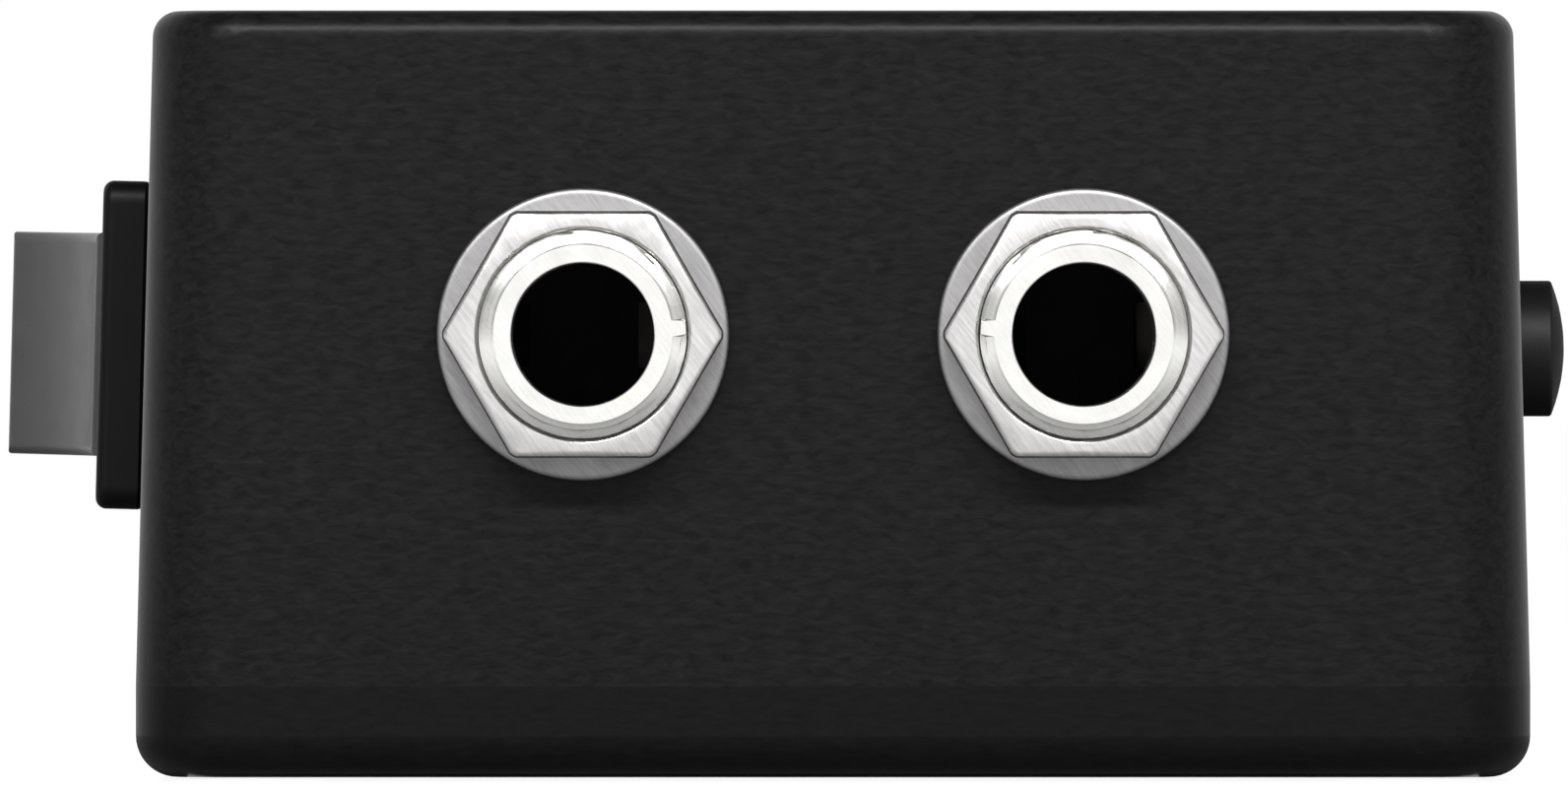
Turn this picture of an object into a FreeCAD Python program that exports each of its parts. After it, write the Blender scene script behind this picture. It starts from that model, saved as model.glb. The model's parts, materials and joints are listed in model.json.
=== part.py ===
"""A pocket headphone amplifier in a die-cast aluminium box, millimetres and degrees.

Frame: origin at the middle of the underside, +Z up, -Y towards the end wall that carries the two
quarter-inch jacks, -X towards the side wall with the power rocker, +X towards the side wall with the
stereo/mono button. The volume knob and the power lamp are on the +Y end wall. The board hangs under the
roof with its parts facing down, and the battery lies across the box on the lid.
"""

import FreeCAD, Part
import math
import os

from FreeCAD import Matrix, Vector

# ---- enclosure -----------------------------------------------------------------------------------
LENGTH = 98.0
WIDTH = 64.12  # over the lid, and over the shell's open edge
HEIGHT = 35.2
LID_HEIGHT = 4.2
WALL = 2.2
DRAFT = math.radians(1.5)  # lean of the two long side walls, which the casting needs to leave its mould
CORNER_R = 4.5
TOP_EDGE_R = 1.2
LID_EDGE_R = 1.9
BOSS_R = 3.9
BOSS_INSET = 5.4  # lid screw axis from the two nearest outer faces
TONGUE_T = 1.0  # the lid's locating ribs
TONGUE_RISE = 1.2
TONGUE_GAP = 0.15
LID_SCREW_R = 1.70  # M3.5
LID_SCREW_HEAD_R = 3.3
LID_SCREW_TOP = 14.0

# ---- board ---------------------------------------------------------------------------------------
BOARD_LOW = 27.83  # the face that carries the parts
BOARD_T = 1.6
BOARD_HALF_X = 28.0
BOARD_HALF_Y = 45.0
BOARD_NOTCH_X = 22.0  # the corners are notched around the lid-screw bosses
BOARD_NOTCH_Y = 39.0
BOARD_SCREWS = [(-24.0, -34.0), (24.0, -34.0), (-24.0, 30.0), (24.0, 30.0)]
BOARD_SCREW_R = 1.20  # M2.5
BOARD_BOSS_R = 2.8
LEAD_PROUD = 0.9  # leads stand this far out of the board's upper face
LEAD_GAP = 0.12

# ---- panel positions -----------------------------------------------------------------------------
AXIS_Z = 20.33  # jacks, volume shaft and lamp
JACK_X = 11.47
SIDE_Y = -13.0  # rocker and button
ROCKER_Z = 19.85
BUTTON_Z = 19.73
LAMP_X = 17.0

# ---- quarter-inch jacks --------------------------------------------------------------------------
JACK_BORE_R = 3.27
JACK_THREAD_R = 4.76  # 3/8 inch
JACK_NOSE = 3.7  # how far the threaded nose stands out of the wall
WASHER_R = 6.75
WASHER_T = 0.8
NUT_ACROSS = 11.3
NUT_T = 2.2
JACK_FLANGE_R = 5.6
JACK_FLANGE_T = 1.0
JACK_SLEEVE_END = 7.0
HOUSING_HALF = 7.5
HOUSING_DEPTH = 28.5
CHANNEL_R = 3.6
CHANNEL_END = 26.8
CONTACT_T = 0.4
CONTACT_HALF_W = 1.5
# side and depth of each contact
CONTACTS = {"tip_contact": (1, 22.3), "ring_contact": (-1, 15.5), "sleeve_contact": (1, 9.0)}

# ---- power rocker, in its own frame: +Z out of the wall, +X towards the jacks, +Y up the wall ----
BEZEL_L = 21.2
BEZEL_W = 15.3
BEZEL_T = 2.5
BEZEL_UNDERCUT = 0.55  # chamfer round the edge that meets the wall
BEZEL_CORNER_R = 1.0
FRAME_L = 19.4
FRAME_W = 13.0
FRAME_DEPTH = 12.0
FRAME_FLOOR = 1.2
WELL_L = 18.7
WELL_W = 10.9
ROCKER_W = 10.45
PIVOT_Z = 0.6
ROCKER_SWEEP_R = 9.2
ROCKER_TIP = math.radians(29.8)
ROCKER_SKIRT = math.radians(-10.0)
ROCKER_DISH_Z = 3.35  # lowest point of the hollow top, level
ROCKER_TILT = 15.5  # each way
HUB_HALF_L = 3.2
HUB_LOW = -6.2
PIN_R = 1.30
PIN_HOLE_R = 1.35
PLUNGER_R = 1.45
PLUNGER_BORE_R = 1.55
PLUNGER_TIP = -7.95
ARM_Z = -8.4
ARM_HALF_L = 6.0
ARM_RISE = 0.8
ARM_T = 0.5
ARM_TILT = 7.0
BLADE_T = 0.8
BLADE_W = 4.8
BLADE_LOW = -20.0
BLADE_BACK_X = -7.0

# ---- stereo/mono button --------------------------------------------------------------------------
CAP_R = 3.18
CAP_HOLE_GAP = 0.17
CAP_PROUD = 2.65
CAP_DOME = 0.62
CAP_FLANGE_R = 3.9
CAP_BACK_X = 25.4
CASE_X = (15.9, 22.6)
CASE_HALF = 4.0
STEM_HALF = 1.5
SUB_BOARD_T = 1.2
BUTTON_WIRE_R = 0.22
BUTTON_COILS = 3

# ---- volume control ------------------------------------------------------------------------------
SHAFT_R = 3.0
SHAFT_BORE_R = 3.05
BUSH_R = 3.5  # M7
BUSH_PROUD = 4.0
POT_HALF_X = 4.9
POT_DROP = 5.1  # the case's lower face below the shaft
POT_DEPTH = 11.4
CHAMBER_R = 4.2
CHAMBER_L = 2.6
CORE_R = 2.0
POT_NUT_ACROSS = 10.0
POT_NUT_T = 2.0
POT_WASHER_T = 0.5
KNOB_GAP = 0.8
KNOB_L = 13.0
KNOB_BASE_R = 8.0
KNOB_TOP_R = 7.3
KNOB_WELL_R = 6.2
KNOB_WELL_L = 3.8
KNOB_FLUTES = 18
KNOB_FLUTE_R = 0.75
POINTER_W = 1.1
POINTER_DEPTH = 0.5
SET_SCREW_R = 1.45

# ---- lamp ----------------------------------------------------------------------------------------
LAMP_R = 2.5
LAMP_FLANGE_R = 2.9
LAMP_BEZEL_R = 4.0
LAMP_BEZEL_T = 1.5
LAMP_SLEEVE_R = 3.15

# ---- battery -------------------------------------------------------------------------------------
BATTERY_X = (-23.6, 22.8)
BATTERY_Y = (1.0, 27.2)
BATTERY_Z = (2.95, 20.15)
BATTERY_EDGE_R = 2.0
SNAP_L = 2.1
SNAP_PITCH = 12.7
SNAP_SMALL_R = 2.9
SNAP_LARGE_R = 4.0
HOLDER_T = 0.6
HOLDER_X = (-12.0, 10.0)
HOLDER_TOP = 15.5
RIVET_R = 1.1
RIVET_X = (-7.0, 5.0)
RIVET_Y = sum(BATTERY_Y) / 2

FRONT = -LENGTH / 2
REAR = LENGTH / 2
ROOF = HEIGHT - WALL
LID_FLOOR = WALL
BOARD_HIGH = BOARD_LOW + BOARD_T
BOSSES = [
    (sx * (WIDTH / 2 - BOSS_INSET), sy * (LENGTH / 2 - BOSS_INSET)) for sx in (-1, 1) for sy in (-1, 1)
]


# ---- shape helpers -------------------------------------------------------------------------------
def box(x_range, y_range, z_range):
    """A box between three (low, high) pairs."""
    (x0, x1), (y0, y1), (z0, z1) = x_range, y_range, z_range
    return Part.makeBox(x1 - x0, y1 - y0, z1 - z0, Vector(x0, y0, z0))


def about(middle, half):
    """The (low, high) pair around a middle."""
    return (middle - half, middle + half)


def rod(radius, start, end):
    """A round bar from one point to another."""
    run = Vector(*end) - Vector(*start)
    return Part.makeCylinder(radius, run.Length, Vector(*start), run)


def tube(outer, inner, start, end):
    """A round tube from one point to another."""
    return rod(outer, start, end).cut(rod(inner, start, end))


def cone(start_r, end_r, start, end):
    """A cone frustum from one point to another."""
    run = Vector(*end) - Vector(*start)
    return Part.makeCone(start_r, end_r, run.Length, Vector(*start), run)


def prism(points, sweep):
    """A closed outline of points, swept along a vector."""
    corners = [Vector(*p) for p in points]
    return Part.Face(Part.makePolygon(corners + corners[:1])).extrude(Vector(*sweep))


def fillet(shape, radius, wanted):
    """Rounds the edges for which wanted(edge) is true."""
    return shape.makeFillet(radius, [e for e in shape.Edges if wanted(e)])


def runs_along(edge, axis):
    """True if a straight edge is parallel to the axis named x, y or z."""
    if not isinstance(edge.Curve, Part.Line):
        return False
    along = Vector(*(1.0 if name == axis else 0.0 for name in "xyz"))
    return edge.Curve.Direction.cross(along).Length < 1e-6


def fuse(shapes):
    """One solid from several."""
    return shapes[0].multiFuse(shapes[1:]).removeSplitter()


def hexagon(across, y_range, x, z):
    """A hexagonal bar along Y with two level flats."""
    corner_r = across / math.sqrt(3)
    points = []
    for step in range(6):
        turn = math.radians(60 * step)
        points.append((x + corner_r * math.cos(turn), y_range[0], z + corner_r * math.sin(turn)))
    return prism(points, (0, y_range[1] - y_range[0], 0))


def bent_strip(middle, thickness, low, high):
    """A strip of sheet metal bent along points in the XY plane, from z low to z high."""
    points = [Vector(x, y, 0) for x, y in middle]
    across = []
    for i, point in enumerate(points):
        headings = []
        if i > 0:
            headings.append((point - points[i - 1]).normalize())
        if i < len(points) - 1:
            headings.append((points[i + 1] - point).normalize())
        mean = sum(headings, Vector()).normalize()
        half = thickness / 2 / (mean * headings[0])
        across.append(Vector(-mean.y, mean.x, 0) * half)
    outline = [p + a for p, a in zip(points, across)] + [p - a for p, a in zip(points, across)][::-1]
    return prism([(p.x, p.y, low) for p in outline], (0, 0, high - low))


def wire(points, radius):
    """A round wire along straight runs joined by tangent arcs."""
    corners = [Vector(*p) for p in points]
    edges = []
    here = corners[0]
    for before, corner, after in zip(corners, corners[1:], corners[2:]):
        back = before - corner
        ahead = after - corner
        turn = math.pi - back.getAngle(ahead)
        tangent = 0.45 * min(back.Length, ahead.Length)
        arc_r = tangent / math.tan(turn / 2)
        back.normalize()
        ahead.normalize()
        start = corner + back * tangent
        end = corner + ahead * tangent
        bisector = (back + ahead).normalize()
        middle = corner + bisector * (arc_r / math.cos(turn / 2) - arc_r)
        edges.append(Part.LineSegment(here, start).toShape())
        edges.append(Part.Arc(start, middle, end).toShape())
        here = end
    edges.append(Part.LineSegment(here, corners[-1]).toShape())
    heading = corners[1] - corners[0]
    section = Part.Wire([Part.makeCircle(radius, corners[0], heading)])
    return Part.Wire(edges).makePipeShell([section], True, False)


def coil(radius, wire_r, pitch, length, start, direction):
    """A helical spring that begins at start and runs along direction."""
    spine = Part.makeHelix(pitch, length, radius)
    section = Part.Wire([Part.makeCircle(wire_r, Vector(radius, 0, 0), Vector(0, 1, 0))])
    spring = Part.Wire(spine).makePipeShell([section], True, True)
    turn = FreeCAD.Rotation(Vector(0, 0, 1), Vector(*direction))
    return spring.transformed(FreeCAD.Placement(Vector(*start), turn).toMatrix(), True)


def wall_half_width(z):
    """Outer half width of the shell at a height."""
    return WIDTH / 2 - (z - LID_HEIGHT) * math.tan(DRAFT)


def on_left_wall(shape):
    """Takes a shape from the rocker's own frame to the leaning left wall."""
    sine, cosine = math.sin(DRAFT), math.cos(DRAFT)
    place = Matrix(
        0, sine, -cosine, -wall_half_width(ROCKER_Z),
        -1, 0, 0, SIDE_Y,
        0, cosine, sine, ROCKER_Z,
        0, 0, 0, 1,
    )
    return shape.transformed(place, True)


# ---- enclosure -----------------------------------------------------------------------------------
def drafted_block(width, length, z_low, z_high, corner_r, top_r):
    """A block whose long sides lean in by the draft, with its upright edges and its top edge rounded."""
    lean = (z_high - z_low) * math.tan(DRAFT)
    half = width / 2
    outline = [
        (-half, -length / 2, z_low),
        (half, -length / 2, z_low),
        (half - lean, -length / 2, z_high),
        (-half + lean, -length / 2, z_high),
    ]
    block = prism(outline, (0, length, 0))
    block = fillet(block, corner_r, lambda e: e.BoundBox.ZLength > (z_high - z_low) / 2)
    return fillet(block, top_r, lambda e: e.BoundBox.ZMin > z_high - 0.01)


def top_shell():
    outer = drafted_block(WIDTH, LENGTH, LID_HEIGHT, HEIGHT, CORNER_R, TOP_EDGE_R)
    cavity = drafted_block(WIDTH - 2 * WALL, LENGTH - 2 * WALL, LID_HEIGHT, ROOF, CORNER_R - WALL, 1.0)
    shell = outer.cut(cavity)
    bosses = [rod(BOSS_R, (x, y, LID_HEIGHT), (x, y, ROOF + 0.5)).common(outer) for x, y in BOSSES]
    bosses += [rod(BOARD_BOSS_R, (x, y, BOARD_HIGH), (x, y, ROOF + 0.5)) for x, y in BOARD_SCREWS]
    shell = fuse([shell] + bosses)
    pilots = [rod(LID_SCREW_R + 0.05, (x, y, LID_HEIGHT), (x, y, LID_SCREW_TOP + 1)) for x, y in BOSSES]
    for x, y in BOARD_SCREWS:
        pilots.append(rod(BOARD_SCREW_R + 0.05, (x, y, BOARD_HIGH), (x, y, ROOF - 0.3)))
    openings = []
    for x in (-JACK_X, JACK_X):
        openings.append(rod(JACK_THREAD_R + 0.2, jack_point(x, -1), jack_point(x, WALL + 1)))
    openings.append(rod(BUSH_R + 0.1, rear_point(REAR - WALL - 1), rear_point(REAR + 1)))
    openings.append(rod(LAMP_SLEEVE_R + 0.05, lamp_point(REAR - WALL - 1), lamp_point(REAR + 1)))
    openings.append(rod(CAP_R + CAP_HOLE_GAP, side_point(WIDTH / 2 - 6), side_point(WIDTH / 2 + 2)))
    openings.append(on_left_wall(box(about(0, FRAME_L / 2 + 0.1), about(0, FRAME_W / 2 + 0.1), (-4, 2))))
    return shell.cut(Part.makeCompound(pilots + openings))


def bottom_lid():
    plate = box(about(0, WIDTH / 2), about(0, LENGTH / 2), (0, LID_HEIGHT))
    plate = fillet(plate, CORNER_R, lambda e: runs_along(e, "z"))
    plate = fillet(plate, LID_EDGE_R, lambda e: e.BoundBox.ZMax < 0.01)
    tray = box(about(0, WIDTH / 2 - WALL), about(0, LENGTH / 2 - WALL), (LID_FLOOR, LID_HEIGHT))
    tray = fillet(tray, CORNER_R - WALL, lambda e: runs_along(e, "z"))
    pads = [rod(BOSS_R + 0.4, (x, y, LID_FLOOR), (x, y, LID_HEIGHT)) for x, y in BOSSES]
    tray = tray.cut(Part.makeCompound(pads))
    rib_x = wall_half_width(LID_HEIGHT + TONGUE_RISE) - WALL - TONGUE_GAP - 0.05
    rib_y = LENGTH / 2 - WALL - TONGUE_GAP
    reach_x = WIDTH / 2 - BOSS_INSET - BOSS_R - 1.5
    reach_y = LENGTH / 2 - BOSS_INSET - BOSS_R - 1.5
    rise = (LID_FLOOR, LID_HEIGHT + TONGUE_RISE)
    ribs = []
    for side in (-1, 1):
        ribs.append(box(about(side * (rib_x - TONGUE_T / 2), TONGUE_T / 2), about(0, reach_y), rise))
        ribs.append(box(about(0, reach_x), about(side * (rib_y - TONGUE_T / 2), TONGUE_T / 2), rise))
    lid = fuse([plate.cut(tray)] + ribs)
    holes = []
    for x, y in BOSSES:
        holes.append(rod(LID_SCREW_R + 0.25, (x, y, -1), (x, y, LID_HEIGHT + 1)))
        holes.append(cone(LID_SCREW_HEAD_R + 0.2, LID_SCREW_R + 0.2, (x, y, -0.01), (x, y, 1.9)))
    for x in RIVET_X:
        holes.append(rod(RIVET_R + 0.05, (x, RIVET_Y, -1), (x, RIVET_Y, LID_FLOOR + 1)))
    return lid.cut(Part.makeCompound(holes))


def cross_recess(x, y, low, size, depth):
    """The cutter of a cross drive, in a head whose face is at low and looks down."""
    arms = [box(about(x, size), about(y, 0.36), (low - 1, low + depth))]
    arms.append(box(about(x, 0.36), about(y, size), (low - 1, low + depth)))
    return fuse(arms + [cone(0.9, 0.35, (x, y, low - 0.01), (x, y, low + depth + 0.3))])


def lid_screws():
    screws = []
    for x, y in BOSSES:
        head = cone(LID_SCREW_HEAD_R, LID_SCREW_R, (x, y, 0.2), (x, y, 1.8))
        shank = rod(LID_SCREW_R, (x, y, 1.7), (x, y, LID_SCREW_TOP - 1))
        tip = cone(LID_SCREW_R, 1.0, (x, y, LID_SCREW_TOP - 1), (x, y, LID_SCREW_TOP))
        screws.append(fuse([head, shank, tip]).cut(cross_recess(x, y, 0.2, 1.7, 1.3)))
    return screws


# ---- board and what is soldered to it ------------------------------------------------------------
def lead_up(x, y, z_low, radius=0.35):
    """A lead that goes up through the board."""
    return rod(radius, (x, y, z_low), (x, y, BOARD_HIGH + LEAD_PROUD))


def main_board(lead_places):
    board = box(about(0, BOARD_HALF_X), about(0, BOARD_HALF_Y), (BOARD_LOW, BOARD_HIGH))
    notches = []
    for sx in (-1, 1):
        for sy in (-1, 1):
            xs = sorted((sx * BOARD_NOTCH_X, sx * (BOARD_HALF_X + 1)))
            ys = sorted((sy * BOARD_NOTCH_Y, sy * (BOARD_HALF_Y + 1)))
            notches.append(box(xs, ys, (BOARD_LOW - 1, BOARD_HIGH + 1)))
    holes = [(x, y, BOARD_SCREW_R + 0.25) for x, y in BOARD_SCREWS]
    holes += [(x, y, radius + LEAD_GAP) for x, y, radius in lead_places]
    drills = [rod(r, (x, y, BOARD_LOW - 1), (x, y, BOARD_HIGH + 1)) for x, y, r in holes]
    return board.cut(Part.makeCompound(notches + drills))


def board_screws():
    screws = []
    for x, y in BOARD_SCREWS:
        head = rod(2.25, (x, y, BOARD_LOW - 1.5), (x, y, BOARD_LOW))
        head = fillet(head, 0.6, lambda e: e.BoundBox.ZMax < BOARD_LOW - 1.4)
        shank = rod(BOARD_SCREW_R, (x, y, BOARD_LOW - 0.1), (x, y, ROOF - 0.6))
        screws.append(fuse([head, shank]).cut(cross_recess(x, y, BOARD_LOW - 1.5, 1.2, 0.9)))
    return screws


CHIPS = [(-13.0, 10.5), (0.0, 10.5), (13.0, 10.5)]
CHIP_LEG_PITCH = 2.54
CHIP_HALF = (4.7, 3.2)
CHIP_Z = (23.9, 27.3)
BIG_CAPACITORS = [
    (-0.8, -8.0, 4.5, 12.0),
    (9.0, -8.0, 4.0, 11.0),
    (-14.0, 33.0, 3.15, 8.0),
    (-22.0, 10.0, 3.15, 7.0),
]  # x, y, radius, height
FILM_CAPACITORS = [(-17.0, 18.0), (-6.0, 18.0), (6.0, 18.0), (17.0, 18.0), (17.5, 32.0)]
RESISTORS = [(x, 24.0) for x in (-14.0, -8.0, 8.0, 14.0)]
RESISTORS += [(x, 0.6) for x in (-10.0, -4.0, 4.0, 10.0, 19.0)]
RESISTOR_Z = 26.4
RESISTOR_SPAN = 3.81  # half the distance between its leads, along Y


def chip_leg_places():
    rows = (-3.81, 3.81)
    columns = [CHIP_LEG_PITCH * (i - 1.5) for i in range(4)]
    return [(x + c, y + r) for x, y in CHIPS for c in columns for r in rows]


def amplifier_chips():
    chips = []
    for x, y in CHIPS:
        chip = box(about(x, CHIP_HALF[0]), about(y, CHIP_HALF[1]), CHIP_Z)
        chip = chip.makeChamfer(0.35, [e for e in chip.Edges if e.BoundBox.ZMax < CHIP_Z[0] + 0.01])
        notch = rod(0.8, (x - CHIP_HALF[0], y, CHIP_Z[0] - 1), (x - CHIP_HALF[0], y, CHIP_Z[0] + 0.5))
        chips.append(chip.cut(notch))
    return chips


def chip_legs():
    legs = []
    for x, y in chip_leg_places():
        centre = min(CHIPS, key=lambda c: abs(c[0] - x))
        side = 1 if y > centre[1] else -1
        shoulder = sorted((centre[1] + side * CHIP_HALF[1], y + side * 0.13))
        legs.append(
            fuse(
                [
                    box(about(x, 0.6), shoulder, (25.5, 25.76)),
                    box(about(x, 0.6), about(y, 0.13), (25.5, BOARD_LOW - 0.3)),
                    box(about(x, 0.25), about(y, 0.13), (25.5, BOARD_HIGH + LEAD_PROUD)),
                ]
            )
        )
    return legs


def big_capacitors():
    cans = []
    for x, y, radius, tall in BIG_CAPACITORS:
        low = BOARD_LOW - 0.4 - tall
        can = rod(radius, (x, y, low), (x, y, BOARD_LOW - 0.4))
        can = fillet(can, 0.5, lambda e: isinstance(e.Curve, Part.Circle))
        groove = Part.makeTorus(radius + 0.25, 0.6, Vector(x, y, BOARD_LOW - 2.6), Vector(0, 0, 1))
        score = (low - 1, low + 0.2)
        vent = box(about(x, radius * 0.7), about(y, 0.15), score)
        vent = vent.fuse(box(about(x, 0.15), about(y, radius * 0.7), score))
        cans.append(can.cut(groove).cut(vent))
    return cans


def capacitor_lead_places():
    places = [(x + side * radius * 0.45, y) for x, y, radius, tall in BIG_CAPACITORS for side in (-1, 1)]
    return places + [(x + side * 2.5, y) for x, y in FILM_CAPACITORS for side in (-1, 1)]


def capacitor_leads():
    big = 2 * len(BIG_CAPACITORS)
    places = capacitor_lead_places()
    return [lead_up(x, y, BOARD_LOW - (0.4 if i < big else 0.3), 0.3) for i, (x, y) in enumerate(places)]


def film_capacitors():
    blocks = []
    for x, y in FILM_CAPACITORS:
        block = box(about(x, 3.6), about(y, 1.25), (BOARD_LOW - 6.3, BOARD_LOW - 0.3))
        blocks.append(fillet(block, 0.3, lambda e: not e.BoundBox.ZMin > BOARD_LOW - 0.4))
    return blocks


def resistors():
    """Axial resistors: a dumb-bell body on one bent lead, each a single solid."""
    made = []
    for x, y in RESISTORS:
        body = rod(0.95, (x, y - 2.6, RESISTOR_Z), (x, y + 2.6, RESISTOR_Z))
        ends = [rod(1.15, (x, y + s * 3.1, RESISTOR_Z), (x, y + s * 1.7, RESISTOR_Z)) for s in (-1, 1)]
        lead = wire(
            [
                (x, y - RESISTOR_SPAN, BOARD_HIGH + LEAD_PROUD),
                (x, y - RESISTOR_SPAN, RESISTOR_Z),
                (x, y + RESISTOR_SPAN, RESISTOR_Z),
                (x, y + RESISTOR_SPAN, BOARD_HIGH + LEAD_PROUD),
            ],
            0.3,
        )
        made.append(fuse([body, lead] + ends))
    return made


# ---- quarter-inch jacks --------------------------------------------------------------------------
def jack_point(x, depth, dx=0.0, dz=0.0):
    """A point at a depth behind the end wall's outer face, off a jack's axis."""
    return (x + dx, FRONT + depth, AXIS_Z + dz)


def jack_tube(x, outer, inner, start, end):
    return tube(outer, inner, jack_point(x, start), jack_point(x, end))


def jack_bush(x):
    nose_end = -JACK_NOSE
    chamfer = 0.45
    nose = rod(JACK_THREAD_R, jack_point(x, nose_end + chamfer), jack_point(x, WALL))
    lip_ends = (jack_point(x, nose_end), jack_point(x, nose_end + chamfer))
    lip = cone(JACK_THREAD_R - chamfer, JACK_THREAD_R, *lip_ends)
    flange = rod(JACK_FLANGE_R, jack_point(x, WALL), jack_point(x, WALL + JACK_FLANGE_T))
    sleeve = rod(JACK_THREAD_R - 0.3, jack_point(x, WALL), jack_point(x, JACK_SLEEVE_END))
    bore = rod(JACK_BORE_R, jack_point(x, nose_end - 1), jack_point(x, JACK_SLEEVE_END + 1))
    mouth_ends = (jack_point(x, nose_end - 0.001), jack_point(x, nose_end + 0.25))
    mouth = cone(JACK_BORE_R + 0.25, JACK_BORE_R, *mouth_ends)
    return fuse([nose, lip, flange, sleeve]).cut(bore).cut(mouth)


def jack_washer(x):
    ring = jack_tube(x, WASHER_R, JACK_THREAD_R + 0.2, -WASHER_T, 0)
    front_rim = FRONT - WASHER_T
    outer_w = 2 * WASHER_R - 1
    return fillet(ring, 0.12, lambda e: e.BoundBox.YMax < front_rim + 0.01 and e.BoundBox.XLength > outer_w)


def jack_nut(x):
    face = -WASHER_T - NUT_T
    nut = hexagon(NUT_ACROSS, (FRONT + face, FRONT - WASHER_T), x, AXIS_Z)
    corner_r = NUT_ACROSS / math.sqrt(3)
    chamfer_r = NUT_ACROSS / 2 - 0.1
    depth = (corner_r - chamfer_r) * math.tan(math.radians(30))
    crown = fuse(
        [
            cone(chamfer_r, corner_r, jack_point(x, face), jack_point(x, face + depth)),
            rod(corner_r, jack_point(x, face + depth), jack_point(x, -WASHER_T)),
        ]
    )
    trimmed = nut.common(crown).common(rod(corner_r - 0.1, jack_point(x, face), jack_point(x, -WASHER_T)))
    bore = rod(JACK_THREAD_R + 0.05, jack_point(x, face - 1), jack_point(x, 0))
    mouth_ends = (jack_point(x, face - 0.001), jack_point(x, face + 0.25))
    mouth = cone(JACK_THREAD_R + 0.26, JACK_THREAD_R + 0.05, *mouth_ends)
    return trimmed.cut(bore).cut(mouth)


def contact_anchor(depth):
    """Depth at which a contact is held and its pin goes up to the board."""
    return depth + 4.5


def jack_contact(x, side, depth):
    middle = [(6.7, 4.5), (6.0, 2.6), (2.8, 0.0), (4.4, -1.8)]
    path = [(x + side * out, FRONT + depth + back) for out, back in middle]
    leaf = bent_strip(path, CONTACT_T, AXIS_Z - CONTACT_HALF_W, AXIS_Z + CONTACT_HALF_W)
    pin_y = FRONT + contact_anchor(depth) - 0.25
    pin = box(about(x + side * 6.65, 0.3), about(pin_y, 0.25), (AXIS_Z + 1.0, BOARD_HIGH + LEAD_PROUD))
    return fuse([leaf, pin])


def jack_pin_places(x):
    return [(x + side * 6.65, FRONT + contact_anchor(depth) - 0.25) for side, depth in CONTACTS.values()]


def jack_housing(x):
    ys = (FRONT + WALL, FRONT + HOUSING_DEPTH)
    block = box(about(x, HOUSING_HALF), ys, about(AXIS_Z, HOUSING_HALF))
    block = fillet(block, 0.8, lambda e: runs_along(e, "y") and e.BoundBox.ZMax < AXIS_Z)
    cutters = [
        rod(JACK_FLANGE_R + 0.1, jack_point(x, 0), jack_point(x, WALL + JACK_FLANGE_T)),
        rod(JACK_THREAD_R - 0.25, jack_point(x, 0), jack_point(x, JACK_SLEEVE_END)),
        rod(CHANNEL_R, jack_point(x, 0), jack_point(x, CHANNEL_END)),
    ]
    for side, depth in CONTACTS.values():
        out = sorted((x + side * 1.0, x + side * (HOUSING_HALF + 1)))
        window = (FRONT + depth - 2.7, FRONT + contact_anchor(depth) + 0.3)
        cutters.append(box(out, window, about(AXIS_Z, CONTACT_HALF_W + 0.3)))
        groove_x = sorted((x + side * 6.1, x + side * (HOUSING_HALF + 1)))
        groove_y = about(FRONT + contact_anchor(depth) - 0.25, 0.5)
        cutters.append(box(groove_x, groove_y, (AXIS_Z, AXIS_Z + HOUSING_HALF + 1)))
    return block.cut(Part.makeCompound(cutters))


# ---- power rocker --------------------------------------------------------------------------------
def rocker_frame():
    bezel = box(about(0, BEZEL_L / 2), about(0, BEZEL_W / 2), (0, BEZEL_T))
    bezel = fillet(bezel, BEZEL_CORNER_R, lambda e: runs_along(e, "z"))
    bezel = fillet(bezel, 0.5, lambda e: e.BoundBox.ZMin > BEZEL_T - 0.01)
    bezel = bezel.makeChamfer(BEZEL_UNDERCUT, [e for e in bezel.Edges if e.BoundBox.ZMax < 0.01])
    body = box(about(0, FRAME_L / 2), about(0, FRAME_W / 2), (-FRAME_DEPTH, 0))
    latch_top = -WALL - 0.15
    latches = []
    for side in (-1, 1):
        edge = side * FRAME_L / 2
        catch = (edge + side * 0.8, -3, latch_top - 0.3)
        latches.append(prism([(edge, -3, latch_top), catch, (edge, -3, latch_top - 4)], (0, 6, 0)))
    frame = fuse([bezel, body] + latches)
    well = box(about(0, WELL_L / 2), about(0, WELL_W / 2), (-FRAME_DEPTH + FRAME_FLOOR, BEZEL_T + 1))
    pin_hole = rod(PIN_HOLE_R, (0, -6.3, PIVOT_Z), (0, 6.3, PIVOT_Z))
    slot_y = about(0, BLADE_W / 2 + 0.05)
    slots = [box(about(x, BLADE_T / 2 + 0.05), slot_y, (-FRAME_DEPTH - 1, -9)) for x in (0, BLADE_BACK_X)]
    return frame.cut(Part.makeCompound([well, pin_hole] + slots))


def on_sweep(side, angle):
    """A point on the arc that a rocker end follows, at an angle above the panel."""
    return Vector(side * ROCKER_SWEEP_R * math.cos(angle), 0, PIVOT_Z + ROCKER_SWEEP_R * math.sin(angle))


def tilted(shape, degrees, z):
    """A shape turned about the rocker frame's Y axis at height z: a positive turn lowers the +X end."""
    turned = shape.copy()
    turned.rotate(Vector(0, 0, z), Vector(0, 1, 0), degrees)
    return turned


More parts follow.
